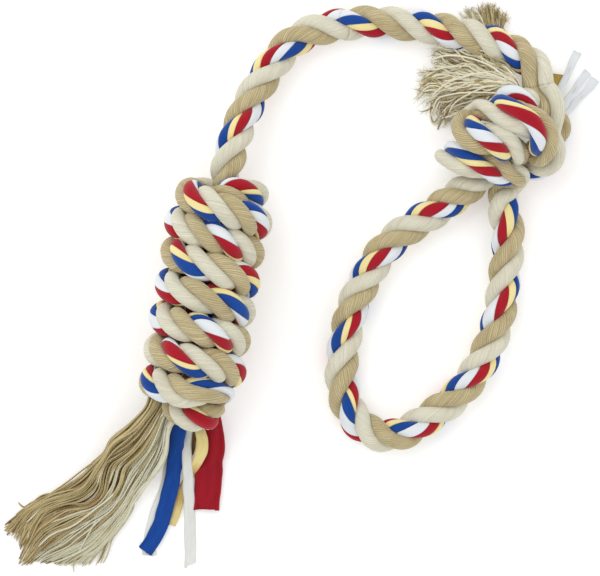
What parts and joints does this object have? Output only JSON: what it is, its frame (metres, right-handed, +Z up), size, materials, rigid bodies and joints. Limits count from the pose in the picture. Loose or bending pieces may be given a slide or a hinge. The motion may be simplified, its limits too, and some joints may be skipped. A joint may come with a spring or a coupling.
{
  "type": "rope dog toy",
  "caption": "Tug toy of thick three-strand rope, with a long barrel knot on one side, an arc, a ball knot and a hand loop, and both rope ends left long as yarn and cloth tails.",
  "frame": {"origin": "centre of the bounding box's underside, on the surface that the toy lies on", "axes": "+Z up from that surface; +Y towards the top of the arc; +X towards the side with the ball knot and the hand loop"},
  "size_m": [0.2808, 0.2688, 0.0491],
  "materials": {
    "cream_cotton": "matte spun cotton yarn",
    "tan_cotton": "matte spun cotton yarn",
    "jersey_mix": "matte knitted jersey strips in red, white, blue and yellow",
    "blue_jersey": "matte knitted jersey",
    "white_jersey": "matte knitted jersey",
    "yellow_jersey": "matte knitted jersey",
    "red_jersey": "matte knitted jersey",
    "gold_jersey": "matte knitted jersey"
  },
  "bodies": {
    "barrel_knot": {"barrel_cream_strand": "cream_cotton", "barrel_colour_strand": "jersey_mix", "barrel_tan_strand": "tan_cotton"},
    "arc": {"arc_cream_strand": "cream_cotton", "arc_colour_strand": "jersey_mix", "arc_tan_strand": "tan_cotton"},
    "ball_knot": {"ball_standing_cream_strand": "cream_cotton", "ball_standing_colour_strand": "jersey_mix", "ball_standing_tan_strand": "tan_cotton", "ball_end_cream_strand": "cream_cotton", "ball_end_colour_strand": "jersey_mix", "ball_end_tan_strand": "tan_cotton"},
    "hand_loop": {"loop_cream_strand": "cream_cotton", "loop_colour_strand": "jersey_mix", "loop_tan_strand": "tan_cotton"},
    "barrel_tassel_tan": {"barrel_tassel_tan": "tan_cotton"},
    "barrel_tassel_cream": {"barrel_tassel_cream": "cream_cotton"},
    "barrel_strip_blue": {"barrel_strip_blue": "blue_jersey"},
    "barrel_strip_white_a": {"barrel_strip_white_a": "white_jersey"},
    "barrel_strip_white_b": {"barrel_strip_white_b": "white_jersey"},
    "barrel_strip_yellow": {"barrel_strip_yellow": "yellow_jersey"},
    "barrel_strip_red": {"barrel_strip_red": "red_jersey"},
    "ball_tassel_fan": {"ball_tassel_fan": "cream_cotton"},
    "ball_tassel_tuft": {"ball_tassel_tuft": "tan_cotton"},
    "ball_strip_white_a": {"ball_strip_white_a": "white_jersey"},
    "ball_strip_white_b": {"ball_strip_white_b": "white_jersey"},
    "ball_strip_white_c": {"ball_strip_white_c": "white_jersey"},
    "ball_strip_gold": {"ball_strip_gold": "gold_jersey"}
  },
  "joints": [
    {"name": "arc_bend_at_barrel", "type": "hinge", "parent": "barrel_knot", "child": "arc", "pos_m": [-0.0339, 0.06039, 0.02249], "axis": [0, 0, 1], "range_deg": [-5, 30]},
    {"name": "ball_bend_on_arc", "type": "hinge", "parent": "arc", "child": "ball_knot", "pos_m": [0.10518, 0.107, 0.01964], "axis": [0, 0, 1], "range_deg": [0, 20]},
    {"name": "loop_lift", "type": "hinge", "parent": "ball_knot", "child": "hand_loop", "pos_m": [0.08516, 0.04386, 0.01124], "axis": [-0.9952, 0.0972, 0.0148], "range_deg": [0, 70]},
    {"name": "tassel_tan_lift", "type": "hinge", "parent": "barrel_knot", "child": "barrel_tassel_tan", "pos_m": [-0.07037, -0.05828, 0.01645], "axis": [-0.759, 0.651, 0], "range_deg": [0, 45]},
    {"name": "tassel_cream_lift", "type": "hinge", "parent": "barrel_knot", "child": "barrel_tassel_cream", "pos_m": [-0.06628, -0.06157, 0.01457], "axis": [-0.759, 0.651, 0], "range_deg": [0, 45]},
    {"name": "strip_blue_lift", "type": "hinge", "parent": "barrel_knot", "child": "barrel_strip_blue", "pos_m": [-0.05721, -0.07003, 0.00752], "axis": [-1, 0, 0], "range_deg": [0, 50]},
    {"name": "strip_white_a_swing", "type": "hinge", "parent": "barrel_knot", "child": "barrel_strip_white_a", "pos_m": [-0.06379, -0.06909, 0.00752], "axis": [0, 0, 1], "range_deg": [-3, 3]},
    {"name": "strip_white_b_lift", "type": "hinge", "parent": "barrel_knot", "child": "barrel_strip_white_b", "pos_m": [-0.05063, -0.07003, 0.00799], "axis": [-1, 0, 0], "range_deg": [0, 50]},
    {"name": "strip_yellow_swing", "type": "hinge", "parent": "barrel_knot", "child": "barrel_strip_yellow", "pos_m": [-0.04616, -0.07003, 0.00658], "axis": [0, 0, 1], "range_deg": [-3, 3]},
    {"name": "strip_red_lift", "type": "hinge", "parent": "barrel_knot", "child": "barrel_strip_red", "pos_m": [-0.03841, -0.0705, 0.00611], "axis": [-1, 0, 0], "range_deg": [0, 50]},
    {"name": "yarn_fan_lift", "type": "hinge", "parent": "ball_knot", "child": "ball_tassel_fan", "pos_m": [0.0899, 0.0893, 0.03337], "axis": [0, 1, 0], "range_deg": [0, 35]},
    {"name": "yarn_tuft_swing", "type": "hinge", "parent": "ball_knot", "child": "ball_tassel_tuft", "pos_m": [0.09507, 0.09494, 0.00658], "axis": [0, 0, 1], "range_deg": [-4, 4]},
    {"name": "ball_strip_white_a_lift", "type": "hinge", "parent": "ball_knot", "child": "ball_strip_white_a", "pos_m": [0.1228, 0.09212, 0.00611], "axis": [0.9429, -0.333, 0], "range_deg": [0, 45]},
    {"name": "ball_strip_white_b_lift", "type": "hinge", "parent": "ball_knot", "child": "ball_strip_white_b", "pos_m": [0.12515, 0.08953, 0.00611], "axis": [0.7121, -0.7021, 0], "range_deg": [0, 45]},
    {"name": "ball_strip_white_c_lift", "type": "hinge", "parent": "ball_knot", "child": "ball_strip_white_c", "pos_m": [0.12891, 0.0853, 0.00611], "axis": [0.7219, -0.6919, 0], "range_deg": [0, 45]},
    {"name": "ball_strip_gold_lift", "type": "hinge", "parent": "ball_knot", "child": "ball_strip_gold", "pos_m": [0.11904, 0.09306, 0.00611], "axis": [0.97, -0.243, 0], "range_deg": [0, 45]}
  ]
}
